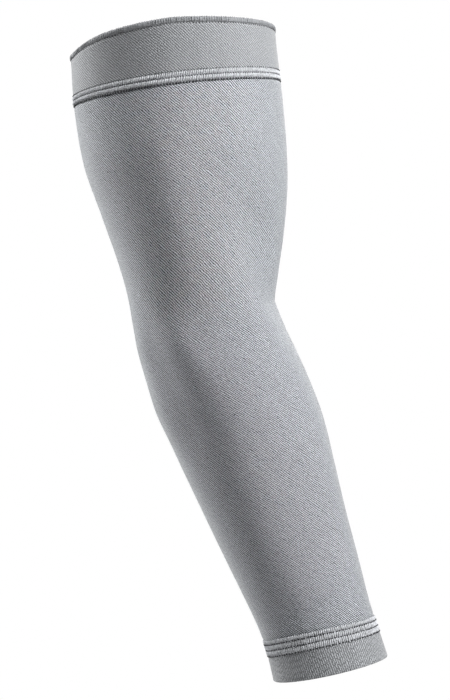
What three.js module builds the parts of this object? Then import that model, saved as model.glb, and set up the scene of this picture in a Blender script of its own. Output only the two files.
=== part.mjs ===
// A knitted arm sleeve, worn with the elbow slightly bent: a tube that follows the upper arm, elbow and
// forearm, an elastic cuff and its bound edge at the upper arm, and a hem band at the wrist.
// Millimetres, +Z up the arm, +X towards the inner bend of the elbow, -Y the outer side of the arm.
// The origin is the middle of the mouth, where the upper arm goes in.
import * as THREE from 'three';

// Driving sizes along the sleeve. A drop is measured straight down from the middle of the mouth.
const SLEEVE_DROP = 376;
const CUFF_LIP_DROP = 31.6;
const HEM_EDGE_DROP = 352;
const BOUND_EDGE_HEIGHT = 2.7;
const SEW_GAP = 0.3;

// Walls of the knit: one ply in the tube, two plies in the cuff and in the turned hem
const TUBE_WALL = 1.2;
const BAND_WALL = 1.6;

// Facets around the arm, and the most that two rings of the tube lie apart
const FACETS_AROUND = 40;
const RING_SPACING = 15;

// Sections of the arm inside the sleeve, by the outer face of the knit: how far the middle lies to the
// inner bend, the width seen from the outer side, the depth, the degrees by which the section climbs to
// the inner bend, and how far its outer side rises.
const SECTIONS = [
  { drop: 0, shift: -0.2, width: 123.6, depth: 104, tilt: 8.1, rise: 8 },
  { drop: 31, shift: 2.5, width: 124.5, depth: 104, tilt: 7.1, rise: 1.2 },
  { drop: 66, shift: 7.2, width: 122, depth: 108, tilt: 8, rise: 0 },
  { drop: 95, shift: 12.8, width: 113, depth: 104, tilt: 8.8, rise: 0 },
  { drop: 123, shift: 16.5, width: 101, depth: 97, tilt: 9.3, rise: 0 },
  { drop: 145, shift: 18.2, width: 91.6, depth: 90, tilt: 9.6, rise: 0 },
  { drop: 162, shift: 19.1, width: 87.2, depth: 85, tilt: 9.8, rise: 0 },
  { drop: 179, shift: 23.2, width: 89.8, depth: 86.5, tilt: 10.1, rise: 0 },
  { drop: 197, shift: 30, width: 93, depth: 91, tilt: 10.4, rise: 0 },
  { drop: 215, shift: 37, width: 95, depth: 92, tilt: 10.7, rise: 0 },
  { drop: 233, shift: 44.5, width: 93, depth: 90, tilt: 10.9, rise: 0 },
  { drop: 260, shift: 54.1, width: 87, depth: 85, tilt: 11.3, rise: 0 },
  { drop: 291, shift: 65.1, width: 79.9, depth: 77, tilt: 11.8, rise: 0 },
  { drop: 323, shift: 77, width: 72.8, depth: 68, tilt: 12.3, rise: 1 },
  { drop: 344, shift: 84.7, width: 68.6, depth: 61.5, tilt: 12.7, rise: 2 },
  { drop: 359, shift: 89.8, width: 68.4, depth: 58.5, tilt: 13, rise: 1.5 },
  { drop: 376, shift: 94.7, width: 70.2, depth: 58.5, tilt: 12.6, rise: -0.4 },
];

// The shares of the rise that are lost at the inner bend and at the outer bend, the second one only near it
const RISE_LOSS = { inner: 0.55, outer: 1.1 };

// The fold pressed into the knit at the inner bend of the elbow
const ELBOW_FOLD = { drop: 162.5, depth: 1.2, reach: 5 };

// Forms of the arm under the knit, on its outer side: the drop and the angle of the middle, how far each one
// reaches along and around the arm, the degrees by which it slants for each millimetre, and its height
const ARM_FORMS = [
  { part: 'hollow above the bend', drop: 127, angle: -41, along: 38, around: 31, slant: 0.6, height: -6 },
  { part: 'top of the forearm muscle', drop: 170, angle: -45, along: 20, around: 28, slant: 0, height: 3 },
  { part: 'point of the elbow', drop: 175, angle: -165, along: 20, around: 20, slant: 0, height: 3 },
  { part: 'hollow below the point', drop: 214, angle: -138, along: 36, around: 26, slant: 0.2, height: -2.8 },
  { part: 'upper arm muscle', drop: 88, angle: -97, along: 43, around: 22, slant: 0, height: 2 },
  { part: 'outer edge of the elbow', drop: 187, angle: -107, along: 20, around: 20, slant: 0.4, height: 2 },
  { part: 'forearm muscle', drop: 254, angle: -26, along: 58, around: 23, slant: 0, height: 4 },
];

// Power of the cosine that keeps a change near the two sides of the arm, or off them
const SIDE_POWER = 8;

// The face of the cuff at its seam: two rounded ridges, the lower one the lip that stands over the tube
const CUFF_SEAM = [
  { aboveLip: 7, proud: 0 },
  { aboveLip: 5.4, proud: 0.5 },
  { aboveLip: 3.6, proud: 0.1 },
  { aboveLip: 2.4, proud: 0.9 },
  { aboveLip: 0.8, proud: 0.9 },
  { aboveLip: 0, proud: 0.35 },
];

// The face of the hem at its seam: an overlocked edge, then two low ridges between three sewn rows
const HEM_SEAM = [
  { belowEdge: 0, proud: 0.5 },
  { belowEdge: 2, proud: 0.2 },
  { belowEdge: 3.8, proud: 0.7 },
  { belowEdge: 5.6, proud: 0.2 },
  { belowEdge: 7.4, proud: 0.7 },
  { belowEdge: 9.2, proud: 0.2 },
  { belowEdge: 11.2, proud: 0 },
];

// Where the tube runs in under a band: how far it is pressed in at the band's edge and at its own end,
// how far in it reaches, the length of the slope between, and the free length that leads up to the edge
const CUFF_LAP = { edgePress: 0.5, endPress: BAND_WALL + SEW_GAP, reach: 8.5, slope: 6, lead: 2 };
const HEM_LAP = { edgePress: 0.6, endPress: BAND_WALL + SEW_GAP, reach: 10, slope: 5, lead: 2.5 };

// The bead of the bound edge stands this far past both faces of the cuff, and its top is this many flats.
const BEAD_PROUD = 0.3;
const BEAD_FLATS = 4;

// How quickly one column of the section table changes at one of its rows
function columnSlope(index, column) {
  const before = SECTIONS[Math.max(index - 1, 0)];
  const after = SECTIONS[Math.min(index + 1, SECTIONS.length - 1)];
  return (after[column] - before[column]) / (after.drop - before.drop);
}

// The value of one column at any drop, on a smooth curve through the rows
function sectionValue(drop, column) {
  const last = SECTIONS.length - 2;
  const found = SECTIONS.findIndex((row, index) => index > 0 && drop < row.drop) - 1;
  const index = found < 0 ? last : found;
  const upper = SECTIONS[index];
  const lower = SECTIONS[index + 1];
  const span = lower.drop - upper.drop;
  const part = (drop - upper.drop) / span;
  const lowerShare = part * part * (3 - 2 * part);
  const leaving = part * (1 - part) * (1 - part) * span * columnSlope(index, column);
  const arriving = part * part * (part - 1) * span * columnSlope(index + 1, column);
  return upper[column] * (1 - lowerShare) + lower[column] * lowerShare + leaving + arriving;
}

// How far the arm's forms lift the sleeve at a drop and an angle around the arm
function formHeight(drop, angle) {
  let height = 0;
  for (const form of ARM_FORMS) {
    const along = (drop - form.drop) / form.along;
    const middle = form.angle + form.slant * (drop - form.drop);
    const around = (THREE.MathUtils.radToDeg(angle) - middle) / form.around;
    height += form.height * Math.exp(-along * along - around * around);
  }
  return height * (1 - Math.cos(angle) ** SIDE_POWER);
}

// The point of the sleeve at a drop and an angle around the arm, standing proud of the outline.
// Angle 0 faces the inner bend, and a quarter turn on faces the inner side of the arm.
function sleevePoint(drop, angle, proud) {
  const tilt = THREE.MathUtils.degToRad(sectionValue(drop, 'tilt'));
  const toBend = Math.max(Math.cos(angle), 0);
  const foldShare = Math.exp(-Math.abs(drop - ELBOW_FOLD.drop) / ELBOW_FOLD.reach);
  const fold = ELBOW_FOLD.depth * toBend * toBend * foldShare;
  const lift = proud + formHeight(drop, angle);
  const across = Math.cos(angle) * (sectionValue(drop, 'width') / 2 + lift - fold);
  const deep = Math.sin(angle) * (sectionValue(drop, 'depth') / 2 + lift);
  const toOuterBend = Math.max(-Math.cos(angle), 0) ** SIDE_POWER;
  const riseShare = 1 - RISE_LOSS.inner * toBend - RISE_LOSS.outer * toOuterBend;
  const up = across * Math.sin(tilt) - Math.sin(angle) * sectionValue(drop, 'rise') * riseShare;
  return new THREE.Vector3(sectionValue(drop, 'shift') + across * Math.cos(tilt), deep, up - drop);
}

// Turns a closed profile of drops and offsets once around, then bends the ring onto the arm.
function ringOnArm(profile) {
  const plainRadius = SECTIONS[0].width / 2;
  const closed = [...profile, profile[0]];
  const outline = closed.map(({ drop, proud }) => new THREE.Vector2(plainRadius + proud, -drop));
  const ring = new THREE.LatheGeometry(outline.reverse(), FACETS_AROUND);
  const places = ring.getAttribute('position');
  const place = new THREE.Vector3();
  for (let index = 0; index < places.count; index += 1) {
    place.fromBufferAttribute(places, index);
    const proud = Math.hypot(place.x, place.z) - plainRadius;
    const angle = Math.atan2(-place.z, place.x);
    const bent = sleevePoint(-place.y, angle, proud);
    places.setXYZ(index, bent.x, bent.y, bent.z);
  }
  ring.computeVertexNormals();
  return ring;
}

// Drops from one end to the other in even steps no longer than the ring spacing, both ends included
function evenDrops(from, to) {
  const steps = Math.ceil((to - from) / RING_SPACING);
  return Array.from({ length: steps + 1 }, (_, step) => from + ((to - from) * step) / steps);
}

// The tube: free between the bands, pressed in under the lip of the cuff and under the hem
function tubeProfile() {
  const freeDrops = evenDrops(CUFF_LIP_DROP + CUFF_LAP.lead, HEM_EDGE_DROP - HEM_LAP.lead);
  const face = [
    { drop: CUFF_LIP_DROP - CUFF_LAP.reach, proud: -CUFF_LAP.endPress },
    { drop: CUFF_LIP_DROP - CUFF_LAP.slope, proud: -CUFF_LAP.endPress },
    { drop: CUFF_LIP_DROP, proud: -CUFF_LAP.edgePress },
    ...freeDrops.map((drop) => ({ drop, proud: 0 })),
    { drop: HEM_EDGE_DROP, proud: -HEM_LAP.edgePress },
    { drop: HEM_EDGE_DROP + HEM_LAP.slope, proud: -HEM_LAP.endPress },
    { drop: HEM_EDGE_DROP + HEM_LAP.reach, proud: -HEM_LAP.endPress },
  ];
  const back = face.map(({ drop, proud }) => ({ drop, proud: proud - TUBE_WALL }));
  return [...face, ...back.reverse()];
}

// The cuff: a plain two-ply band, then the ridges of its seam, with the back rising over the tube
function cuffProfile() {
  const top = BOUND_EDGE_HEIGHT + SEW_GAP;
  const middle = (top + CUFF_LIP_DROP) / 2;
  return [
    { drop: top, proud: 0 },
    { drop: middle, proud: 0 },
    ...CUFF_SEAM.map(({ aboveLip, proud }) => ({ drop: CUFF_LIP_DROP - aboveLip, proud })),
    { drop: CUFF_LIP_DROP, proud: SEW_GAP - CUFF_LAP.edgePress },
    { drop: CUFF_LIP_DROP - CUFF_LAP.slope, proud: -BAND_WALL },
    { drop: middle, proud: -BAND_WALL },
    { drop: top, proud: -BAND_WALL },
  ];
}

// The bound edge: a bead with a half-round top, sewn over the cut top of the cuff
function boundEdgeProfile() {
  const radius = BAND_WALL / 2 + BEAD_PROUD;
  const roundTop = Array.from({ length: BEAD_FLATS + 1 }, (_, flat) => {
    const turn = (Math.PI * flat) / BEAD_FLATS;
    return { drop: radius - radius * Math.sin(turn), proud: -BAND_WALL / 2 - radius * Math.cos(turn) };
  });
  return [
    ...roundTop,
    { drop: BOUND_EDGE_HEIGHT, proud: BEAD_PROUD },
    { drop: BOUND_EDGE_HEIGHT, proud: -BAND_WALL - BEAD_PROUD },
  ];
}

// The hem: its sewn upper edge lies over the tube, and its folded lower edge is half round
function hemProfile() {
  const foldRadius = BAND_WALL / 2;
  const foldTop = SLEEVE_DROP - foldRadius;
  const seam = HEM_SEAM.map(({ belowEdge, proud }) => ({ drop: HEM_EDGE_DROP + belowEdge, proud }));
  return [
    ...seam,
    { drop: foldTop, proud: 0 },
    { drop: SLEEVE_DROP, proud: -foldRadius },
    { drop: foldTop, proud: -BAND_WALL },
    { drop: HEM_EDGE_DROP + HEM_LAP.slope, proud: -BAND_WALL },
    { drop: HEM_EDGE_DROP, proud: SEW_GAP - HEM_LAP.edgePress },
  ];
}

// Matt heathered knits: the tube, the slightly lighter bands and the darker overlocked edge
const tubeKnit = new THREE.MeshStandardMaterial({ color: 0x9fa1a6, roughness: 0.9, metalness: 0 });
const bandKnit = new THREE.MeshStandardMaterial({ color: 0xa3a5a9, roughness: 0.9, metalness: 0 });
const edgeThread = new THREE.MeshStandardMaterial({ color: 0x77797e, roughness: 0.85, metalness: 0 });

const PIECES = [
  { name: 'sleeve_tube', profile: tubeProfile(), material: tubeKnit },
  { name: 'upper_cuff', profile: cuffProfile(), material: bandKnit },
  { name: 'mouth_edge', profile: boundEdgeProfile(), material: edgeThread },
  { name: 'wrist_hem', profile: hemProfile(), material: bandKnit },
];

const armSleeve = new THREE.Group();
for (const { name, profile, material } of PIECES) {
  const piece = new THREE.Mesh(ringOnArm(profile), material);
  piece.name = name;
  armSleeve.add(piece);
}

export default armSleeve;
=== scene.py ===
"""Looks of a knitted arm sleeve, laid out as a Blender add-on and run as a script.

The sleeve is shown as worn, with the elbow slightly bent: a fine heathered knit tube, a two-ply elastic
cuff with its bound edge at the upper arm, a turned hem band at the wrist, and the threads of the seams.
Metres, +Z up the arm, +X towards the inner bend of the elbow, -Y the outer side of the arm.
"""
import math

import bpy
import numpy as np
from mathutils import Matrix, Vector


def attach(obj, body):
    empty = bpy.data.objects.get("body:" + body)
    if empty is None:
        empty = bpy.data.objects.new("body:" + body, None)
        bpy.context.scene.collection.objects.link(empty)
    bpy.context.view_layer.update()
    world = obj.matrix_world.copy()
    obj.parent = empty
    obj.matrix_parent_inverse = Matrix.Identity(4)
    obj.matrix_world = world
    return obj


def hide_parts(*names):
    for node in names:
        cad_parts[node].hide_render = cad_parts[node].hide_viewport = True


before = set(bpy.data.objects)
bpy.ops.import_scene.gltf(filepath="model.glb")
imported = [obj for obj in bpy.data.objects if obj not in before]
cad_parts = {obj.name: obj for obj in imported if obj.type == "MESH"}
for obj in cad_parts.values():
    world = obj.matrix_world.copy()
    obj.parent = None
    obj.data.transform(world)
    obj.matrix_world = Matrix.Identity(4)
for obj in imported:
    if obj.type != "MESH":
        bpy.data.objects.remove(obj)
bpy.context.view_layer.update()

bl_info = {
    "name": "Knitted Arm Sleeve",
    "version": (1, 0, 0),
    "blender": (4, 5, 0),
    "location": "View3D > Sidebar > Arm Sleeve",
    "description": "Builds a knitted arm sleeve with its cuff, hem and seam threads around a fixed frame",
    "category": "Object",
}

MM = 0.001
BODY = "root"

# Sections of the arm inside the sleeve, by the outer face of the knit: the drop below the middle of the
# mouth, how far the middle lies to the inner bend, the width, the depth, the degrees by which the section
# climbs to the inner bend, and how far its outer side rises. Lengths are in millimetres.
SECTION_COLUMNS = ("drop", "shift", "width", "depth", "tilt", "rise")
SECTIONS = np.array((
    (0, -0.2, 123.6, 104, 8.1, 8),
    (31, 2.5, 124.5, 104, 7.1, 1.2),
    (66, 7.2, 122, 108, 8, 0),
    (95, 12.8, 113, 104, 8.8, 0),
    (123, 16.5, 101, 97, 9.3, 0),
    (145, 18.2, 91.6, 90, 9.6, 0),
    (162, 19.1, 87.2, 85, 9.8, 0),
    (179, 23.2, 89.8, 86.5, 10.1, 0),
    (197, 30, 93, 91, 10.4, 0),
    (215, 37, 95, 92, 10.7, 0),
    (233, 44.5, 93, 90, 10.9, 0),
    (260, 54.1, 87, 85, 11.3, 0),
    (291, 65.1, 79.9, 77, 11.8, 0),
    (323, 77, 72.8, 68, 12.3, 1),
    (344, 84.7, 68.6, 61.5, 12.7, 2),
    (359, 89.8, 68.4, 58.5, 13, 1.5),
    (376, 94.7, 70.2, 58.5, 12.6, -0.4),
)) * (MM, MM, MM, MM, math.radians(1), MM)

# The shares of the rise that are lost at the inner bend and at the outer bend, the second one only near it
RISE_LOSS_INNER = 0.55
RISE_LOSS_OUTER = 1.1

# Forms of the arm under the knit, on its outer side: the drop and the angle of the middle, how far each
# one reaches along and around the arm, the degrees by which it slants for each millimetre, and its height.
# Lengths are in millimetres and angles in degrees.
ARM_FORMS = (
    (127, -41, 38, 31, 0.6, -6),  # hollow above the bend
    (170, -45, 20, 28, 0, 3),  # top of the forearm muscle
    (175, -165, 20, 20, 0, 3),  # point of the elbow
    (214, -138, 36, 26, 0.2, -2.8),  # hollow below the point
    (80, -103, 43, 22, 0, 2.4),  # upper arm muscle
    (180, -115, 18, 18, 0.4, 2.6),  # outer edge of the elbow
    (254, -26, 58, 23, 0, 4),  # forearm muscle
)

# Power of the cosine that keeps a change near the two sides of the arm, or off them
SIDE_POWER = 8

# The fold pressed into the knit at the inner bend of the elbow
ELBOW_FOLD_DROP = 162.5 * MM
ELBOW_FOLD_DEPTH = 1.2 * MM
ELBOW_FOLD_REACH = 5 * MM

# Where the ends of the tube run in under the bands: drop from the band's edge and how far pressed in, in
# millimetres
CUFF_LAP = ((-8.5, 1.9), (-6, 1.9), (0, 0.5), (2, 0))
HEM_LAP = ((-2.5, 0), (0, 0.6), (5, 1.9), (10, 1.9))

# Angle 0 faces the inner bend. The rings start on the inner side of the arm, so their join is behind.
RING_START = math.pi / 2
AROUND_ARM = 240
AROUND_WRIST = 200
KNIT_MAP = "knit"
BAKE_MAP = "OFBake"


def linear(code):
    """Turns an sRGB hex value into the linear colour that shaders and lamps take."""
    shares = [int(code[place:place + 2], 16) / 255 for place in (0, 2, 4)]
    return tuple(s / 12.92 if s <= 0.04045 else ((s + 0.055) / 1.055) ** 2.4 for s in shares)


def length_prop(name, description, millimetres):
    """A length of the settings, shown in scene units."""
    return bpy.props.FloatProperty(
        name=name, description=description, default=millimetres * MM, min=0, unit="LENGTH", precision=4
    )


def colour_prop(name, description, code):
    """A colour of the settings, given by its sRGB hex value."""
    return bpy.props.FloatVectorProperty(
        name=name, description=description, default=linear(code), min=0, max=1, size=3, subtype="COLOR"
    )


def power_prop(name, description, watts):
    """The power of a lamp."""
    return bpy.props.FloatProperty(name=name, description=description, default=watts, min=0, unit="POWER")


class SleeveSizes(bpy.types.PropertyGroup):
    """Sizes of the knit and of its seams."""

    cuff_lip_drop: length_prop("Cuff lip", "From the mouth down to the lip of the upper cuff", 31.6)
    hem_edge_drop: length_prop("Hem edge", "From the mouth down to the sewn upper edge of the hem", 352)
    sleeve_drop: length_prop("Sleeve", "From the mouth down to the fold of the hem", 376)
    bound_edge: length_prop("Bound edge", "Height of the overlocked edge at the mouth", 2.7)
    tube_wall: length_prop("Tube wall", "Thickness of the knit of the tube", 1.2)
    band_wall: length_prop("Band wall", "Thickness of the two plies of the cuff and of the hem", 1.6)
    pucker: length_prop("Pucker", "How far the seams draw the knit of the tube in and out", 0.15)


class SleeveColours(bpy.types.PropertyGroup):
    """Colours of the yarns and threads."""

    light_yarn: colour_prop("Light yarn", "The lighter filaments of the tube's heathered knit", "C6CAD0")
    dark_yarn: colour_prop("Dark yarn", "The darker filaments of the tube's heathered knit", "BCC0C6")
    band_yarn: colour_prop("Band yarn", "The filaments of the cuff and the hem", "C7CACE")
    # Painted shade: a near-black that stands in for the shadow in the gaps between the stitches
    painted_gap_shade: colour_prop("Stitch gap", "The shade between the knitted stitches", "14181C")
    seam_thread: colour_prop("Seam thread", "The light thread that covers the seams", "C4C6CA")
    # Partly painted shade: this near-black needle thread also stands for the shade of its needle holes and
    # for the shadow under the cuff's lip
    needle_thread: colour_prop("Needle thread", "The dark thread sunk between the cuff's ridges", "26282D")
    # Partly painted shade: this near-black thread also stands for the shade of the hem's needle holes and
    # grooves and of the gap below the bound edge
    hem_needle_thread: colour_prop(
        "Hem needle thread", "The dark thread sunk into the hem and below the bound edge", "1C1E22"
    )
    edge_thread: colour_prop("Edge thread", "The grey thread that binds the mouth", "8B8D90")


class StudioSettings(bpy.types.PropertyGroup):
    """The camera, the lamps and the floor."""

    camera_distance: length_prop("Camera distance", "From the camera to the middle of the sleeve", 1500)
    view_height: length_prop("View height", "Height of the picture at the sleeve", 420)
    key_power: power_prop("Key lamp", "Soft lamp on the side of the inner bend", 36)
    left_power: power_prop("Left edge lamp", "Soft lamp behind the left side", 31)
    right_power: power_prop("Right edge lamp", "Soft lamp behind the right side", 14)
    fill_power: power_prop("Fill lamp", "Soft lamp near the camera", 3.2)
    room_light: bpy.props.FloatProperty(
        name="Room light", description="Even light from all around", default=0.01, min=0, subtype="FACTOR"
    )
    floor_paper: colour_prop("Floor paper", "The studio paper that the light bounces off", "EAEAEA")


class SleeveSettings(bpy.types.PropertyGroup):
    """All settings of the sleeve and its stage."""

    sizes: bpy.props.PointerProperty(type=SleeveSizes)
    colours: bpy.props.PointerProperty(type=SleeveColours)
    studio: bpy.props.PointerProperty(type=StudioSettings)


def smooth(share):
    """Eases a share from 0 to 1 in and out."""
    return share * share * (3 - 2 * share)


def section(drop, column):
    """The value of one column of the section table at any drop, on a smooth curve through its rows."""
    drops = SECTIONS[:, 0]
    values = SECTIONS[:, SECTION_COLUMNS.index(column)]
    before = np.maximum(np.arange(len(drops)) - 1, 0)
    after = np.minimum(np.arange(len(drops)) + 1, len(drops) - 1)
    slopes = (values[after] - values[before]) / (drops[after] - drops[before])
    row = np.clip(np.searchsorted(drops, drop, side="right") - 1, 0, len(drops) - 2)
    span = drops[row + 1] - drops[row]
    part = (drop - drops[row]) / span
    lower_share = smooth(part)
    leaving = part * (1 - part) ** 2 * span * slopes[row]
    arriving = part ** 2 * (part - 1) * span * slopes[row + 1]
    return values[row] * (1 - lower_share) + values[row + 1] * lower_share + leaving + arriving


def form_height(drop, angle):
    """How far the arm's forms lift the sleeve. Angles count from -180 to 180 degrees here."""
    degrees = np.degrees(np.mod(angle + math.pi, 2 * math.pi) - math.pi)
    total = np.zeros(np.broadcast(drop, angle).shape)
    for form_drop, form_angle, along, around, slant, height in ARM_FORMS:
        below = drop / MM - form_drop
        beside = degrees - form_angle - slant * below
        total += height * MM * np.exp(-(below / along) ** 2 - (beside / around) ** 2)
    return total * (1 - np.cos(angle) ** SIDE_POWER)


def sleeve_points(drop, angle, proud):
    """Points at these drops and angles around the arm, standing proud of its outline."""
    tilt = section(drop, "tilt")
    to_bend = np.maximum(np.cos(angle), 0)
    to_outer_bend = np.maximum(-np.cos(angle), 0) ** SIDE_POWER
    fold = ELBOW_FOLD_DEPTH * to_bend ** 2 * np.exp(-abs(drop - ELBOW_FOLD_DROP) / ELBOW_FOLD_REACH)
    lift = proud + form_height(drop, angle)
    across = np.cos(angle) * (section(drop, "width") / 2 + lift - fold)
    deep = np.sin(angle) * (section(drop, "depth") / 2 + lift)
    rise = section(drop, "rise") * (1 - RISE_LOSS_INNER * to_bend - RISE_LOSS_OUTER * to_outer_bend)
    up = across * np.sin(tilt) - np.sin(angle) * rise - drop
    right = section(drop, "shift") + across * np.cos(tilt)
    return np.stack(np.broadcast_arrays(right, deep, up), axis=-1)


def soft_noise(drop, angle, rows, columns, seed):
    """Smooth random values from -1 to 1, with this many cells down the sleeve and around it."""
    cells = np.random.default_rng(seed).uniform(-1, 1, (rows + 2, columns))
    down = np.clip(drop / SECTIONS[-1, 0], 0, 1) * rows
    around = np.mod(angle / (2 * math.pi), 1) * columns
    row = np.floor(down).astype(int)
    column = np.floor(around).astype(int) % columns
    next_column = (column + 1) % columns
    down_share = smooth(down - row)
    around_share = smooth(around - np.floor(around))
    upper = cells[row, column] * (1 - around_share) + cells[row, next_column] * around_share
    lower = cells[row + 1, column] * (1 - around_share) + cells[row + 1, next_column] * around_share
    return upper * (1 - down_share) + lower * down_share


def ridges(drop, edge, rows):
    """Rounded ridges around the sleeve at some distances from an edge, as one offset at each drop."""
    total = np.zeros(len(drop))
    for away, width, height in rows:
        place = np.clip(abs(drop - edge - away * MM) / (width * MM / 2), 0, 1)
        total += height * MM * np.cos(place * math.pi / 2) ** 2
    return total


def drops_between(start, end, spacing):
    """Even drops from start to end, no further apart than the spacing."""
    return np.linspace(start, end, math.ceil((end - start) / spacing) + 1)


def quad_corners(rows, columns):
    """The row and the column of the four corners of each cell of a grid."""
    row, column = np.meshgrid(np.arange(rows), np.arange(columns), indexing="ij")
    steps = ((0, 0), (1, 0), (1, 1), (0, 1))
    corners = [np.stack((row + down, column + across), axis=-1).reshape(-1, 2) for down, across in steps]
    return np.stack(corners, axis=1)


def add_object(name, points, faces, maps, materials, slots=None):
    """Makes a smooth mesh object with its UV maps, given for each corner of each face."""
    mesh = bpy.data.meshes.new(name)
    mesh.from_pydata(points.tolist(), [], faces)
    for map_name, places in maps.items():
        layer = mesh.uv_layers.new(name=map_name)
        layer.uv.foreach_set("vector", np.ascontiguousarray(places, dtype=np.float32).ravel())
    for material in materials:
        mesh.materials.append(material)
    if slots is not None:
        mesh.polygons.foreach_set("material_index", np.asarray(slots, dtype=np.int32))
    mesh.shade_smooth()
    mesh.validate()
    made = bpy.data.objects.new(name, mesh)
    bpy.context.scene.collection.objects.link(made)
    return made


def ring_object(name, face, back, around, relief, materials):
    """Makes a closed wall around the sleeve from its face, running down, and its back, running up.

    Each of the two is a list of drops and offsets. The relief is added to the face and the back alike.
    """
    profile = np.array([*face, *back])
    rows = len(profile)
    angle = RING_START + 2 * math.pi * np.arange(around + 1) / around
    drop = profile[:, :1]
    proud = profile[:, 1:] + relief(drop, angle[None, :])
    grid = sleeve_points(drop, angle[None, :], proud)
    closed = np.concatenate((grid, grid[:1]))
    girth = np.zeros(closed.shape[:2])
    girth[:, 1:] = np.linalg.norm(np.diff(closed, axis=1), axis=2).cumsum(axis=1)
    girth -= girth[:, around // 2][:, None]
    run = np.zeros(closed.shape[:2])
    run[1:] = np.linalg.norm(np.diff(closed, axis=0), axis=2).cumsum(axis=0)
    knit = np.stack((girth, -run), axis=-1) / MM
    bake = np.stack(np.meshgrid(np.linspace(0, 1, around + 1), np.linspace(1, 0, rows + 1)), axis=-1)
    row, column = np.moveaxis(quad_corners(rows, around), -1, 0)
    faces = row % rows * around + column % around
    maps = {BAKE_MAP: bake[row, column], KNIT_MAP: knit[row, column]}
    slots = (row[:, 0] >= len(face) - 1).astype(int)
    return add_object(name, grid[:, :around].reshape(-1, 3), faces.tolist(), maps, materials, slots)


def add_node(tree, kind, inputs=None, **settings):
    """Adds a node with its settings. An input given as a socket is linked, and any other is set."""
    node = tree.nodes.new(kind)
    for name, value in settings.items():
        setattr(node, name, value)
    for name, value in (inputs or {}).items():
        if isinstance(value, bpy.types.NodeSocket):
            tree.links.new(value, node.inputs[name])
        else:
            node.inputs[name].default_value = value
    return node


def new_material(name):
    """An empty material and its node tree."""
    material = bpy.data.materials.new(name)
    material.use_nodes = True
    material.node_tree.nodes.clear()
    return material, material.node_tree


def rgba(colour):
    """A colour of the settings with full alpha, as sockets take it."""
    return (*colour, 1)


# Knit patterns: degrees of the stitch rows from the rings of the arm, the spacing of the rows and the
# length of a stitch in millimetres, for the main rows and for the legs of the stitches that cross them.
# Then how deep the gaps are and how dark their painted shade gets, and how bright the yarn is. A stitch of
# 300 mm makes rows that run on unbroken.
# The real stitches are about 0.7 mm apart, too fine to show, so they are drawn 1.2 to 1.3 mm apart.
TUBE_KNIT = {"rows": (-47, 1.22, 300), "legs": (42, 1.22, 5), "depth": 1, "brightness": 0.94}
CUFF_KNIT = {"rows": (-46, 1.22, 300), "legs": (43, 1.22, 5), "depth": 0.7, "brightness": 0.62}
HEM_KNIT = {"rows": (-84, 1.3, 3.6), "legs": (-48, 1.25, 3.6), "depth": 0.7, "brightness": 0.67}
REVERSE_KNIT = {"rows": (0, 1.3, 2.2), "legs": (12, 1.3, 2.2), "depth": 0.8, "brightness": 0.85}

# The share of a gap's painted shade and depth that it has only where the rows and the legs both leave one
GAP_CROSSING = 0.3

# The width of a gap as a share of the spacing, how softly it sets in, and its depth in millimetres
GAP_WIDTH = 0.35
GAP_SOFTNESS = 0.4
GAP_DEPTH = 0.15

# How a row slides along: by up to this many stitches, with noise cells for each row and each millimetre
SLIDE_STITCHES = 4
SLIDE_CELLS_ACROSS = 0.6
SLIDE_CELLS_ALONG = 0.01

# How far the rows drift off their line and the distance over which they do, in millimetres
DRIFT = 1.5
DRIFT_SIZE = 4

# Heather of the yarn in millimetres: flecks, and faint streaks along the arm. Then the streaks' share
# beside the flecks, the range of the two together, and the shades that this range gives.
FLECK_SIZE = 0.7
STREAK_WIDTH = 6
STREAK_LENGTH = 60
STREAK_SHARE = 0.1
HEATHER_RANGE = (0.3, 0.8)
HEATHER_SHADES = (0.66, 1.34)


def stitch_rows(tree, place, pattern, yarns):
    """Rows of rounded stitches, each in its own mix of the two yarns.

    Each row is slid along by its own amount, so that the ends of the stitches don't line up.
    """
    turn, spacing, stitch = pattern
    turned = add_node(
        tree, "ShaderNodeMapping", {"Vector": place, "Rotation": (0, 0, math.radians(-turn))}
    ).outputs["Vector"]
    by_row = add_node(tree, "ShaderNodeMapping", {
        "Vector": turned, "Scale": (SLIDE_CELLS_ALONG, SLIDE_CELLS_ACROSS / spacing, 1),
    }).outputs["Vector"]
    slide = add_node(tree, "ShaderNodeTexNoise", {"Vector": by_row, "Scale": 1, "Detail": 0})
    slid = add_node(
        tree, "ShaderNodeVectorMath",
        {0: slide.outputs["Color"], 1: (SLIDE_STITCHES * stitch, 0, 0), 2: turned},
        operation="MULTIPLY_ADD",
    )
    return add_node(tree, "ShaderNodeTexBrick", {
        "Vector": slid.outputs["Vector"],
        "Color1": rgba(yarns[0]),
        "Color2": rgba(yarns[1]),
        "Mortar": rgba(yarns[0]),
        "Scale": 1,
        "Mortar Size": spacing * GAP_WIDTH,
        "Mortar Smooth": GAP_SOFTNESS,
        "Brick Width": stitch,
        "Row Height": spacing,
    })


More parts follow.
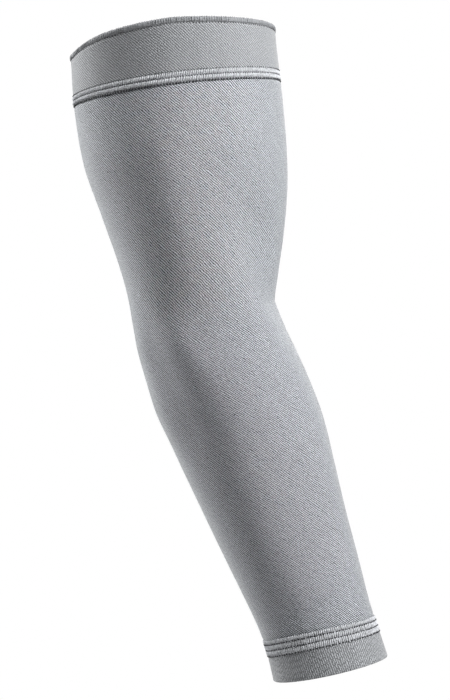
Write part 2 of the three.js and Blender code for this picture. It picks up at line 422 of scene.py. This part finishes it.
def heathered_knit(name, pattern, yarns, gap_shade):
    """Fine knit of textured polyester and elastane, in heathered grey.

    It gives the eye fine slanted rows crossed by the legs of the stitches, small lighter and darker flecks,
    faint streaks along the arm, only a weak broad gloss, and a pale bloom of fibres where the surface turns
    away.
    """
    material, tree = new_material(name)
    knit = add_node(tree, "ShaderNodeUVMap", uv_map=KNIT_MAP).outputs["UV"]
    drift = add_node(tree, "ShaderNodeTexNoise", {
        "Vector": knit, "Scale": 1 / DRIFT_SIZE, "Detail": 3, "Roughness": 0.6,
    })
    place = add_node(
        tree, "ShaderNodeVectorMath", {0: drift.outputs["Color"], 1: (DRIFT, DRIFT, 0), 2: knit},
        operation="MULTIPLY_ADD",
    ).outputs["Vector"]
    rows = stitch_rows(tree, place, pattern["rows"], yarns)
    legs = stitch_rows(tree, place, pattern["legs"], yarns)
    depth = add_node(tree, "ShaderNodeMapRange", {
        "Value": legs.outputs["Fac"],
        "To Min": (1 - GAP_CROSSING) * pattern["depth"], "To Max": pattern["depth"],
    }).outputs["Result"]
    gap = add_node(
        tree, "ShaderNodeMath", {0: rows.outputs["Fac"], 1: depth}, operation="MULTIPLY"
    ).outputs["Value"]
    along = add_node(tree, "ShaderNodeMapping", {
        "Vector": knit, "Scale": (1 / STREAK_WIDTH, 1 / STREAK_LENGTH, 1),
    }).outputs["Vector"]
    streak = add_node(tree, "ShaderNodeTexNoise", {"Vector": along, "Scale": 1, "Detail": 2})
    fleck = add_node(tree, "ShaderNodeTexNoise", {"Vector": knit, "Scale": 1 / FLECK_SIZE, "Detail": 1})
    heather = add_node(
        tree, "ShaderNodeMath", {0: streak.outputs["Fac"], 1: STREAK_SHARE, 2: fleck.outputs["Fac"]},
        operation="MULTIPLY_ADD",
    ).outputs["Value"]
    darkest, lightest = (shade * pattern["brightness"] for shade in HEATHER_SHADES)
    shade = add_node(tree, "ShaderNodeMapRange", {
        "Value": heather, "From Min": HEATHER_RANGE[0], "From Max": HEATHER_RANGE[1],
        "To Min": darkest, "To Max": lightest,
    }).outputs["Result"]
    # The gaps are mixed towards the painted gap shade, in place of the shadow between the stitches
    # A colour mix has its share at input 0, its colours at inputs 6 and 7, and its result at output 2
    stitch = add_node(
        tree, "ShaderNodeMix", {0: gap, 6: rows.outputs["Color"], 7: rgba(gap_shade)}, data_type="RGBA"
    ).outputs[2]
    yarn = add_node(tree, "ShaderNodeVectorMath", {0: stitch, "Scale": shade}, operation="SCALE")
    bump = add_node(
        tree, "ShaderNodeBump", {"Height": gap, "Strength": 1, "Distance": GAP_DEPTH * MM}, invert=True
    )
    fibre = add_node(tree, "ShaderNodeBsdfPrincipled", {
        "Base Color": yarn.outputs["Vector"],
        "Roughness": 0.85,
        "IOR": 1.5,
        "Specular IOR Level": 0.8,
        "Sheen Weight": 0.35,
        "Sheen Roughness": 0.45,
        "Normal": bump.outputs["Normal"],
    })
    add_node(tree, "ShaderNodeOutputMaterial", {"Surface": fibre.outputs["BSDF"]})
    return material


# Sewing thread in millimetres: a turn of its twist, the depth of the twist, and the size of its lighter and
# darker places. A wave texture of scale 0.31 makes about one wave a unit.
TWIST_TURN = 0.9
TWIST_DEPTH = 0.15
WAVE_UNIT = 0.31
MOTTLE_SIZE = 1.6
MOTTLE_RANGE = (0.3, 0.7)
MOTTLE_SHADES = (0.66, 1.14)

# Roughness of the soft covering thread, and of the tighter needle and overlock threads
COVER_ROUGHNESS = 0.75
TIGHT_ROUGHNESS = 0.7


def sewing_thread(name, colour, roughness):
    """Twisted polyester sewing thread, which gives the eye a soft shine along each loop.

    The two plies are drawn 0.9 mm to a turn, coarser than the real 0.4 mm, so that they show.
    """
    material, tree = new_material(name)
    place = add_node(tree, "ShaderNodeUVMap", uv_map=KNIT_MAP).outputs["UV"]
    twist = add_node(tree, "ShaderNodeTexWave", {
        "Vector": place, "Scale": WAVE_UNIT / TWIST_TURN, "Distortion": 0.6, "Detail": 1,
    }, bands_direction="DIAGONAL")
    mottle = add_node(tree, "ShaderNodeTexNoise", {"Vector": place, "Scale": 1 / MOTTLE_SIZE, "Detail": 2})
    shade = add_node(tree, "ShaderNodeMapRange", {
        "Value": mottle.outputs["Fac"], "From Min": MOTTLE_RANGE[0], "From Max": MOTTLE_RANGE[1],
        "To Min": MOTTLE_SHADES[0], "To Max": MOTTLE_SHADES[1],
    }).outputs["Result"]
    tinted = add_node(tree, "ShaderNodeVectorMath", {0: tuple(colour), "Scale": shade}, operation="SCALE")
    bump = add_node(tree, "ShaderNodeBump", {
        "Height": twist.outputs["Fac"], "Strength": 0.5, "Distance": TWIST_DEPTH * MM,
    })
    fibre = add_node(tree, "ShaderNodeBsdfPrincipled", {
        "Base Color": tinted.outputs["Vector"],
        "Roughness": roughness,
        "IOR": 1.55,
        "Specular IOR Level": 0.4,
        "Sheen Weight": 0.2,
        "Sheen Roughness": 0.4,
        "Normal": bump.outputs["Normal"],
    })
    add_node(tree, "ShaderNodeOutputMaterial", {"Surface": fibre.outputs["BSDF"]})
    return material


def finish_piece(piece, slot, *nodes):
    """Puts a piece on its body in place of the CAD nodes that it stands for. Its slot is not used."""
    if nodes:
        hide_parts(*nodes)
    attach(piece, BODY)


# Rows of thread along a seam: the drop of the row's middle, how far a loop runs down the arm and along the
# seam, the offsets of its ends and of its crown, the pitch of the loops and the width of the thread.
# Drops are from the cuff's lip, the hem's edge or the mouth. All are in millimetres.
ROW_COLUMNS = ("drop", "down", "along", "ends", "crown", "pitch", "thread")
CUFF_LOOPS = (
    (-4.6, 2.3, -0.9, -0.1, 0.4, 1.3, 1.0),
    (-1.9, 2.2, -1.1, -0.1, 0.55, 1.35, 1.1),
)
# Dark rows, partly needle thread and partly painted shade: the first two follow needle rows with the
# painted shade of their holes, and the last is a painted shadow under the cuff's lip
CUFF_NEEDLES_AND_SHADE = (
    (-6.2, 0.3, 0.2, -0.15, 0.25, 1.9, 0.75),
    (-3.2, 0.1, 0.4, -0.1, 0.25, 1.7, 0.72),
    (-0.1, 1.1, -0.5, -0.05, 0.25, 1.9, 0.95),
)
HEM_LOOPS = (
    (0.6, 2.4, -0.4, -0.15, 0.3, 1.25, 1.0),
    (3.6, 3.1, -0.5, -0.05, 0.4, 1.25, 1.05),
    (6.95, 3.3, -0.5, -0.05, 0.4, 1.25, 1.05),
)
# Dark rows of the hem, partly needle thread and partly painted shade of the needle holes and of the grooves
# between the ridges
HEM_NEEDLES_AND_SHADE = (
    (2.0, 0.5, 0.1, 0.0, 0.4, 1.95, 0.95),
    (5.2, 0.4, 0.1, 0.0, 0.35, 1.95, 0.9),
    (8.7, 0.6, 0.1, -0.05, 0.35, 1.95, 0.95),
)
# A dark row under the bound edge, partly needle thread and partly painted shade of the gap below its bead
MOUTH_NEEDLES_AND_SHADE = ((3.1, 0.3, 0.2, -0.15, 0.15, 1.9, 0.62),)

# The loops that wrap an edge: how far they lean along it, their pitch and the width of the thread
EDGE_WRAP = (0.6, 1.5, 0.7)

# Threads are sewn down flat: their height as a share of their width, and the width left at their ends
THREAD_FLATNESS = 0.6
END_TAPER = 0.35
LOOP_STEPS = 6
WRAP_STEPS = 10
THREAD_SIDES = 6
LOOP_JITTER = 0.12
GIRTH_SAMPLES = 361
MOUTH_SEED = 26
FIRST_SEAM_SEED = 31

# Places on the thread's knit map: the run of a loop, and the shifts that give each loop and each row
# its own mottle
LOOP_RUN = 3
LOOP_SHIFT = 3.7
ROW_SHIFT = 11.3

# Where the flat ends of a loop lie on the maps, as shares of its run, and how much of its cell a loop fills
CAP_PLACES = (0.02, 0.98)
BAKE_FILL = 0.96


def arch(row, base_drop):
    """One loop of a seam row from its upper end over its crown, with its lean, pitch and thread."""
    values = {name: value * MM for name, value in zip(ROW_COLUMNS, row)}
    part = np.linspace(-0.5, 0.5, LOOP_STEPS + 1)
    drop = base_drop + values["drop"] + part * values["down"]
    proud = values["ends"] + (values["crown"] - values["ends"]) * np.cos(part * math.pi)
    return np.stack((drop, proud), axis=-1), values["along"], values["pitch"], values["thread"]


def wrap(depth, middle, radius):
    """One loop that wraps the mouth's edge from face to back, with its lean, pitch and thread."""
    lean, pitch, thread = (value * MM for value in EDGE_WRAP)
    turn = np.linspace(0, math.pi, WRAP_STEPS - 1)
    drop = np.concatenate(([depth], radius * (1 - np.sin(turn)), [depth]))
    proud = np.concatenate(([radius], radius * np.cos(turn), [-radius])) + middle
    return np.stack((drop, proud), axis=-1), lean, pitch, thread


def loop_paths(profile, along, pitch, rng):
    """Centre lines of the loops of one row, and the outward direction at each of their points."""
    turns = np.linspace(0, 2 * math.pi, GIRTH_SAMPLES)
    ring = sleeve_points(np.full(turns.shape, profile[:, 0].mean()), turns, 0.0)
    reached = np.concatenate(([0], np.linalg.norm(np.diff(ring, axis=0), axis=1).cumsum()))
    count = round(reached[-1] / pitch)
    part = np.linspace(-0.5, 0.5, len(profile))[None, :]
    jitter = rng.uniform(-LOOP_JITTER, LOOP_JITTER, (4, count, 1))
    place = (np.arange(count)[:, None] + jitter[0]) * reached[-1] / count + part * (1 + jitter[1]) * along
    angle = np.interp(np.mod(place, reached[-1]), reached, turns)
    middle = profile.mean(axis=0)
    drop = middle[0] + (profile[:, 0] - middle[0])[None, :] * (1 + jitter[2])
    proud = middle[1] + (profile[:, 1] - middle[1])[None, :] * (1 + jitter[3])
    path = sleeve_points(drop, angle, proud)
    outward = sleeve_points(drop, angle, proud + MM) - path
    return path, outward / np.linalg.norm(outward, axis=2, keepdims=True)


def thread_tubes(path, outward, radius):
    """Flattened closed tubes along many centre lines at once.

    Gives the points of each tube, the quads and end caps of one tube, and the grid places of its quads.
    """
    count, steps = path.shape[:2]
    tangent = np.gradient(path, axis=1)
    tangent /= np.linalg.norm(tangent, axis=2, keepdims=True)
    side = np.cross(tangent, outward)
    side /= np.linalg.norm(side, axis=2, keepdims=True)
    up = np.cross(side, tangent) * THREAD_FLATNESS
    taper = np.full(steps, radius)
    taper[[0, -1]] *= END_TAPER
    turn = 2 * math.pi * np.arange(THREAD_SIDES) / THREAD_SIDES
    spokes = up[:, :, None] * np.cos(turn)[:, None] + side[:, :, None] * np.sin(turn)[:, None]
    points = path[:, :, None] + spokes * taper[None, :, None, None]
    corners = quad_corners(steps - 1, THREAD_SIDES)
    quads = corners[:, :, 0] * THREAD_SIDES + corners[:, :, 1] % THREAD_SIDES
    first_cap = np.arange(THREAD_SIDES)
    last_cap = (steps - 1) * THREAD_SIDES + first_cap[::-1]
    return points.reshape(count, -1, 3), quads, (first_cap, last_cap), corners


def thread_rows(name, rows, material, seed):
    """One object with all the loops of some rows, each with its profile, lean, pitch and thread."""
    rng = np.random.default_rng(seed)
    points, faces, knit, bake = [], [], [], []
    start = 0
    for number, (profile, along, pitch, thread) in enumerate(rows):
        path, outward = loop_paths(profile, along, pitch, rng)
        loops, quads, caps, corners = thread_tubes(path, outward, thread / 2)
        count, size = loops.shape[:2]
        cap_turn = np.arange(THREAD_SIDES) / THREAD_SIDES
        across = np.concatenate(((corners[:, :, 1] / THREAD_SIDES).ravel(), cap_turn, cap_turn))
        step = (corners[:, :, 0] / (len(profile) - 1)).ravel()
        down = np.concatenate((step, *(np.full(THREAD_SIDES, place) for place in CAP_PLACES)))
        for loop in range(count):
            base = start + loop * size
            faces += (quads + base).tolist()
            faces += [(cap + base).tolist() for cap in caps]
            mottle_place = (across + loop * LOOP_SHIFT, down * LOOP_RUN + number * ROW_SHIFT)
            bake_place = ((across * BAKE_FILL + loop) / count, (down * BAKE_FILL + number) / len(rows))
            knit.append(np.stack(mottle_place, axis=-1))
            bake.append(np.stack(bake_place, axis=-1))
        points.append(loops.reshape(-1, 3))
        start += count * size
    maps = {BAKE_MAP: np.concatenate(bake), KNIT_MAP: np.concatenate(knit)}
    return add_object(name, np.concatenate(points), faces, maps, [material])


# Unevenness of the knit, as rows and columns of noise cells and a seed: the gathers below the cuff's lip
# and above the hem with how far they reach, and the slow swell of the tube, of the bands and of the bound
# edge with its height
LIP_GATHERS = (8, 150, 11)
LIP_GATHER_REACH = 4 * MM
HEM_GATHERS = (8, 96, 12)
HEM_GATHER_REACH = 5 * MM
TUBE_SWELL = (12, 9, 13)
TUBE_SWELL_HEIGHT = 0.35 * MM
BAND_SWELL = (40, 24, 21)
BAND_SWELL_HEIGHT = 0.12 * MM
EDGE_SWELL = (40, 60, 25)
EDGE_SWELL_HEIGHT = 0.08 * MM

# Spacing of the rings on the tube's face and inside it, on the seams of the bands and on their plain parts
TUBE_FACE_SPACING = 1.5 * MM
TUBE_INSIDE_SPACING = 5 * MM
SEAM_SPACING = 0.35 * MM
BAND_SPACING = 2 * MM


class SLEEVE_OT_tube(bpy.types.Operator):
    """Knit the tube that follows the upper arm, elbow and forearm"""

    bl_idname = "arm_sleeve.tube"
    bl_label = "Knit Tube"

    def execute(self, context):
        settings = context.scene.arm_sleeve
        sizes = settings.sizes
        top, press_top = np.array(CUFF_LAP).T * MM
        end, press_end = np.array(HEM_LAP).T * MM
        lap_drops = np.concatenate((top + sizes.cuff_lip_drop, end + sizes.hem_edge_drop))
        lap_press = np.concatenate((press_top, press_end))

        def wall(spacing, thickness):
            drops = drops_between(lap_drops[0], lap_drops[-1], spacing)
            return list(zip(drops, -np.interp(drops, lap_drops, lap_press) - thickness))

        def relief(drop, angle):
            below_lip = np.exp(-np.maximum(drop - sizes.cuff_lip_drop, 0) / LIP_GATHER_REACH)
            above_hem = np.exp(-np.maximum(sizes.hem_edge_drop - drop, 0) / HEM_GATHER_REACH)
            gathers = soft_noise(drop, angle, *LIP_GATHERS) * below_lip
            gathers = gathers + soft_noise(drop, angle, *HEM_GATHERS) * above_hem
            return gathers * sizes.pucker + soft_noise(drop, angle, *TUBE_SWELL) * TUBE_SWELL_HEIGHT

        yarns = (settings.colours.light_yarn, settings.colours.dark_yarn)
        gap_shade = settings.colours.painted_gap_shade
        outside = heathered_knit("heathered_polyester_knit", TUBE_KNIT, yarns, gap_shade)
        inside = heathered_knit("heathered_knit_reverse", REVERSE_KNIT, yarns, gap_shade)
        face = wall(TUBE_FACE_SPACING, 0)
        back = wall(TUBE_INSIDE_SPACING, sizes.tube_wall)[::-1]
        piece = ring_object("knit_tube", face, back, AROUND_ARM, relief, [outside, inside])
        finish_piece(piece, "tube_knit", "sleeve_tube")
        return {"FINISHED"}


# Ridges of the bands under the seam loops: drop from the lip or from the hem's edge, width and height, in
# millimetres
CUFF_RIDGES = ((-4.6, 2.8, 0.2), (-1.9, 2.8, 0.35))
HEM_RIDGES = ((0.3, 3.0, 0.25), (3.6, 3.0, 0.3), (6.95, 3.3, 0.3))

# Heights of the sewn parts of the cuff and of the hem, and the gap between the cuff and its bound edge
CUFF_SEAM = 8 * MM
HEM_SEAM = 12 * MM
EDGE_GAP = 0.12 * MM

# The cuff's wall thins to its lip and the hem's to its sewn edge: over what height, and to what thickness.
# The last ones are where the plain wall inside has one more ring.
LIP_THINNING = 6 * MM
LIP_THICKNESS = 0.2 * MM
HEM_THINNING = 5 * MM
HEM_THICKNESS = 0.3 * MM
CUFF_INSIDE_RING = 10 * MM
HEM_INSIDE_RING = 11 * MM
FOLD_STEPS = 6


class SLEEVE_OT_bands(bpy.types.Operator):
    """Make the upper cuff with its seam ridges and lip, and the turned hem at the wrist"""

    bl_idname = "arm_sleeve.bands"
    bl_label = "Cuff and Hem"

    def execute(self, context):
        settings = context.scene.arm_sleeve
        sizes = settings.sizes
        yarns = (settings.colours.band_yarn, settings.colours.band_yarn)
        gap_shade = settings.colours.painted_gap_shade
        cuff_knit = heathered_knit("elastic_cuff_knit", CUFF_KNIT, yarns, gap_shade)
        hem_knit = heathered_knit("turned_hem_knit", HEM_KNIT, yarns, gap_shade)
        inside = heathered_knit("band_knit_reverse", REVERSE_KNIT, yarns, gap_shade)
        wall = sizes.band_wall

        def relief(drop, angle):
            return soft_noise(drop, angle, *BAND_SWELL) * BAND_SWELL_HEIGHT

        lip = sizes.cuff_lip_drop
        top = sizes.bound_edge + EDGE_GAP
        plain = drops_between(top, lip - CUFF_SEAM, BAND_SPACING)
        sewn = drops_between(lip - CUFF_SEAM, lip, SEAM_SPACING)
        drops = np.concatenate((plain[:-1], sewn))
        face = list(zip(drops, ridges(drops, lip, CUFF_RIDGES)))
        back = [
            (lip, -LIP_THICKNESS), (lip - LIP_THINNING, -wall), (top + CUFF_INSIDE_RING, -wall),
            (top, -wall),
        ]
        cuff = ring_object("cuff_band", face, back, AROUND_ARM, relief, [cuff_knit, inside])
        finish_piece(cuff, "band_knit", "upper_cuff")

        edge = sizes.hem_edge_drop
        fold = sizes.sleeve_drop
        radius = wall / 2
        sewn = drops_between(edge, edge + HEM_SEAM, SEAM_SPACING)
        plain = drops_between(edge + HEM_SEAM, fold - radius, BAND_SPACING)
        drops = np.concatenate((sewn[:-1], plain))
        turns = np.linspace(0, math.pi, FOLD_STEPS + 1)[1:-1]
        rounded = [(fold - radius * (1 - math.sin(t)), -radius * (1 - math.cos(t))) for t in turns]
        face = [*zip(drops, ridges(drops, edge, HEM_RIDGES)), *rounded]
        back = [
            (fold - radius, -wall), (edge + HEM_INSIDE_RING, -wall), (edge + HEM_THINNING, -wall),
            (edge, -HEM_THICKNESS),
        ]
        hem = ring_object("hem_band", face, back, AROUND_WRIST, relief, [hem_knit, inside])
        finish_piece(hem, "band_knit", "wrist_hem")
        return {"FINISHED"}


# The bound edge: how far its bead stands off the cuff's walls, where its shoulder lies as a share of its
# height, and how far the shoulder and the feet on the face and inside stand off
BEAD_PADDING = 0.3 * MM
SHOULDER_PLACE = 0.7
SHOULDER = 0.25 * MM
FACE_FOOT = 0.05 * MM
INSIDE_FOOT = 0.2 * MM
BEAD_STEPS = 8


class SLEEVE_OT_mouth(bpy.types.Operator):
    """Bind the mouth with an edge of overlock thread"""

    bl_idname = "arm_sleeve.mouth"
    bl_label = "Bound Mouth Edge"

    def execute(self, context):
        settings = context.scene.arm_sleeve
        sizes = settings.sizes
        height = sizes.bound_edge
        radius = sizes.band_wall / 2 + BEAD_PADDING
        middle = -sizes.band_wall / 2
        thread = sewing_thread("overlock_thread", settings.colours.edge_thread, TIGHT_ROUGHNESS)

        def relief(drop, angle):
            return soft_noise(drop, angle, *EDGE_SWELL) * EDGE_SWELL_HEIGHT

        turns = np.linspace(math.pi, 0, BEAD_STEPS + 1)
        face = [(radius - radius * math.sin(t), middle + radius * math.cos(t)) for t in turns]
        face += [(height * SHOULDER_PLACE, SHOULDER), (height, FACE_FOOT)]
        back = [(height, -sizes.band_wall - INSIDE_FOOT)]
        piece = ring_object("mouth_binding", face, back, AROUND_ARM, relief, [thread, thread])
        finish_piece(piece, "edge_thread", "mouth_edge")
        loops = thread_rows("mouth_loops", [wrap(height, middle, radius)], thread, MOUTH_SEED)
        finish_piece(loops, "edge_thread")
        return {"FINISHED"}


class SLEEVE_OT_threads(bpy.types.Operator):
    """Sew the threads of the cuff seam, the hem seam and the mouth, whose dark needle rows carry painted
    shade
    """

    bl_idname = "arm_sleeve.threads"
    bl_label = "Seam Threads"

    def execute(self, context):
        settings = context.scene.arm_sleeve
        colours = settings.colours
        lip = settings.sizes.cuff_lip_drop
        edge = settings.sizes.hem_edge_drop
        light = sewing_thread("cover_seam_thread", colours.seam_thread, COVER_ROUGHNESS)
        # The dark needle threads carry painted shade of the needle holes, the grooves, the shadow under the
        # lip and the gap below the bound edge
        dark = sewing_thread("needle_thread", colours.needle_thread, TIGHT_ROUGHNESS)
        hem_dark = sewing_thread("hem_needle_thread", colours.hem_needle_thread, TIGHT_ROUGHNESS)
        seams = (
            ("cuff_seam_loops", CUFF_LOOPS, lip, light),
            ("cuff_needle_rows", CUFF_NEEDLES_AND_SHADE, lip, dark),
            ("hem_seam_loops", HEM_LOOPS, edge, light),
            ("hem_needle_rows", HEM_NEEDLES_AND_SHADE, edge, hem_dark),
            ("mouth_needle_row", MOUTH_NEEDLES_AND_SHADE, 0.0, hem_dark),
        )
        for seed, (name, seam, drop, material) in enumerate(seams, start=FIRST_SEAM_SEED):
            piece = thread_rows(name, [arch(row, drop) for row in seam], material, seed)
            finish_piece(piece, "edge_thread")
        return {"FINISHED"}


# Lamps: name, setting of the power, and degrees to the right of the camera's line and up
LAMPS = (
    ("key_lamp", "key_power", 60, 30),
    ("left_edge_lamp", "left_power", -110, 30),
    ("right_edge_lamp", "right_power", 160, 35),
    ("fill_lamp", "fill_power", -25, 35),
)
LAMP_SIDE = 0.7
LAMP_DISTANCE = 1.4
FLOOR_DROP = 1.2
FLOOR_RADIUS = 5.0
FLOOR_SIDES = 64
WHITE = (1, 1, 1, 1)
VIEW_MIDDLE = Vector((31.2 * MM, 0, -184.9 * MM))


def add_lamps(scene, studio):
    """Sets the soft lamps around the sleeve, out of the camera's sight."""
    for name, power, azimuth, elevation in LAMPS:
        turn = math.radians(azimuth)
        climb = math.radians(elevation)
        level = Vector((math.sin(turn), -math.cos(turn), 0)) * math.cos(climb)
        place = (level + Vector((0, 0, math.sin(climb)))) * LAMP_DISTANCE
        lamp = bpy.data.lights.new(name, "AREA")
        lamp.energy = getattr(studio, power)
        lamp.size = LAMP_SIDE
        holder = bpy.data.objects.new(name, lamp)
        holder.location = VIEW_MIDDLE + place
        holder.rotation_euler = (-place).to_track_quat("-Z", "Y").to_euler()
        holder.visible_camera = False
        scene.collection.objects.link(holder)


def white_to_camera(tree, shader, glow, output):
    """Ends a node tree so that the camera sees plain white, and light meets the given shader."""
    path = add_node(tree, "ShaderNodeLightPath")
    white = add_node(tree, glow, {"Color": WHITE, "Strength": 1})
    both = add_node(tree, "ShaderNodeMixShader", {
        0: path.outputs["Is Camera Ray"], 1: shader.outputs[0], 2: white.outputs[0],
    })
    add_node(tree, output, {"Surface": both.outputs[0]})


def add_room(scene, studio):
    """Makes a room that looks white and gives a little even light."""
    world = bpy.data.worlds.new("white_room")
    world.use_nodes = True
    tree = world.node_tree
    tree.nodes.clear()
    light = add_node(tree, "ShaderNodeBackground", {"Color": WHITE, "Strength": studio.room_light})
    white_to_camera(tree, light, "ShaderNodeBackground", "ShaderNodeOutputWorld")
    scene.world = world


def add_floor(studio):
    """Lays a floor of matt white studio paper, rolled out smooth.

    It gives the eye an even white without a horizon, and the sleeve a soft light from below.
    """
    paper, tree = new_material("white_studio_paper")
    sheet = add_node(tree, "ShaderNodeBsdfPrincipled", {
        "Base Color": rgba(studio.floor_paper), "Roughness": 0.9,
    })
    white_to_camera(tree, sheet, "ShaderNodeEmission", "ShaderNodeOutputMaterial")
    turns = np.linspace(0, 2 * math.pi, FLOOR_SIDES, endpoint=False)
    level = np.full(FLOOR_SIDES, -FLOOR_DROP)
    rim = np.stack((FLOOR_RADIUS * np.cos(turns), FLOOR_RADIUS * np.sin(turns), level), axis=-1)
    floor = add_object("floor", rim, [list(range(FLOOR_SIDES))], {}, [paper])


def add_camera(scene, studio):
    """Sets the camera level with the middle of the sleeve, on its outer side."""
    lens = bpy.data.cameras.new("camera")
    lens.lens = lens.sensor_width * studio.camera_distance / studio.view_height
    camera = bpy.data.objects.new("camera", lens)
    camera.location = VIEW_MIDDLE - Vector((0, studio.camera_distance, 0))
    camera.rotation_euler = (math.pi / 2, 0, 0)
    scene.collection.objects.link(camera)
    scene.camera = camera


class SLEEVE_OT_stage(bpy.types.Operator):
    """Set the pale floor, the soft studio lamps and the camera"""

    bl_idname = "arm_sleeve.stage"
    bl_label = "Studio Stage"

    def execute(self, context):
        scene = context.scene
        studio = scene.arm_sleeve.studio
        scene.view_settings.view_transform = "Standard"
        # Stitches two pixels wide look like noise to the denoiser, so it takes its guides as they are
        scene.cycles.denoising_prefilter = "NONE"
        add_lamps(scene, studio)
        add_room(scene, studio)
        add_floor(studio)
        add_camera(scene, studio)
        return {"FINISHED"}


class SLEEVE_PT_panel(bpy.types.Panel):
    """Lists the settings of the sleeve and the steps that build it"""

    bl_idname = "SLEEVE_PT_panel"
    bl_label = "Arm Sleeve"
    bl_space_type = "VIEW_3D"
    bl_region_type = "UI"
    bl_category = "Arm Sleeve"

    def draw(self, context):
        settings = context.scene.arm_sleeve
        for group in (settings.sizes, settings.colours, settings.studio):
            box = self.layout.box()
            for name in group.__annotations__:
                box.prop(group, name)
        for step in STEPS:
            self.layout.operator(step.bl_idname)


STEPS = (SLEEVE_OT_stage, SLEEVE_OT_tube, SLEEVE_OT_bands, SLEEVE_OT_mouth, SLEEVE_OT_threads)
CLASSES = (SleeveSizes, SleeveColours, StudioSettings, SleeveSettings, *STEPS, SLEEVE_PT_panel)


def register():
    for each in CLASSES:
        bpy.utils.register_class(each)
    bpy.types.Scene.arm_sleeve = bpy.props.PointerProperty(type=SleeveSettings)


def unregister():
    del bpy.types.Scene.arm_sleeve
    for each in reversed(CLASSES):
        bpy.utils.unregister_class(each)


def main():
    """Builds the stage and the sleeve."""
    register()
    bpy.ops.arm_sleeve.stage()
    bpy.ops.arm_sleeve.tube()
    bpy.ops.arm_sleeve.bands()
    bpy.ops.arm_sleeve.mouth()
    bpy.ops.arm_sleeve.threads()


if __name__ == "__main__":
    main()
